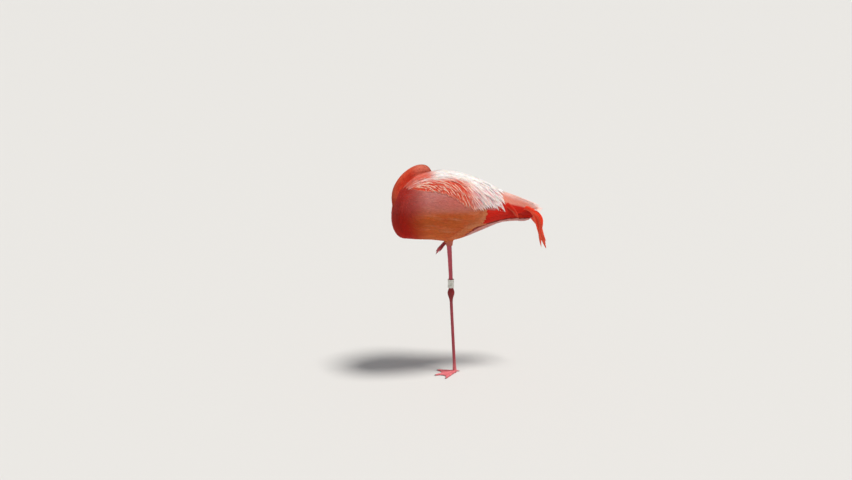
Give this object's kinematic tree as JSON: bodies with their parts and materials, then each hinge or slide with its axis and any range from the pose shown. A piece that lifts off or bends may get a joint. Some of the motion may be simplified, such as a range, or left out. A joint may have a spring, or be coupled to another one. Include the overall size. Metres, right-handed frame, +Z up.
{
  "type": "american flamingo, resting on one leg",
  "caption": "Life-size adult flamingo asleep on one leg, neck looped back with the head laid in the back feathers, a plain ring on the standing leg.",
  "frame": {"origin": "in the sole of the standing left foot, under the root of the toes, at floor level", "axes": "+Z up, the bird faces -Y, its left side is +X"},
  "size_m": [0.2142, 0.544, 0.7541],
  "materials": {
    "plumage_body": "soft matt feathers, orange-red at the breast to rose on the flank",
    "plumage_wing": "soft matt feathers, rose with pale plume tips",
    "plumage_scarlet": "long smooth scarlet plumes",
    "plumage_pale": "pale pink feathers",
    "plumage_neck": "short dense velvety orange-red feathers",
    "bill_pale": "satin horn, pale pink with a black tip",
    "eye": "wet pale yellow iris with a dark pupil",
    "leg_skin": "finely scaled mauve-pink skin, deep red at the ankle",
    "foot_skin": "finely scaled pink webbed skin",
    "leg_ring": "worn off-white plastic band"
  },
  "bodies": {
    "root": {"trunk": "plumage_body", "wing_left": "plumage_wing", "wing_right": "plumage_wing", "tertials_left": "plumage_scarlet", "tertials_right": "plumage_scarlet", "tail": "plumage_pale", "neck_base": "plumage_neck", "neck_middle": "plumage_neck", "neck_upper": "plumage_neck", "head": "plumage_neck", "bill_upper": "bill_pale", "bill_lower": "bill_pale", "eye_left": "eye", "eye_right": "eye", "shank_left": "leg_skin", "tarsus_left": "leg_skin", "foot_left": "foot_skin", "shank_right": "leg_skin", "tarsus_right": "leg_skin", "foot_right": "foot_skin", "leg_ring": "leg_ring"}
  },
  "joints": []
}
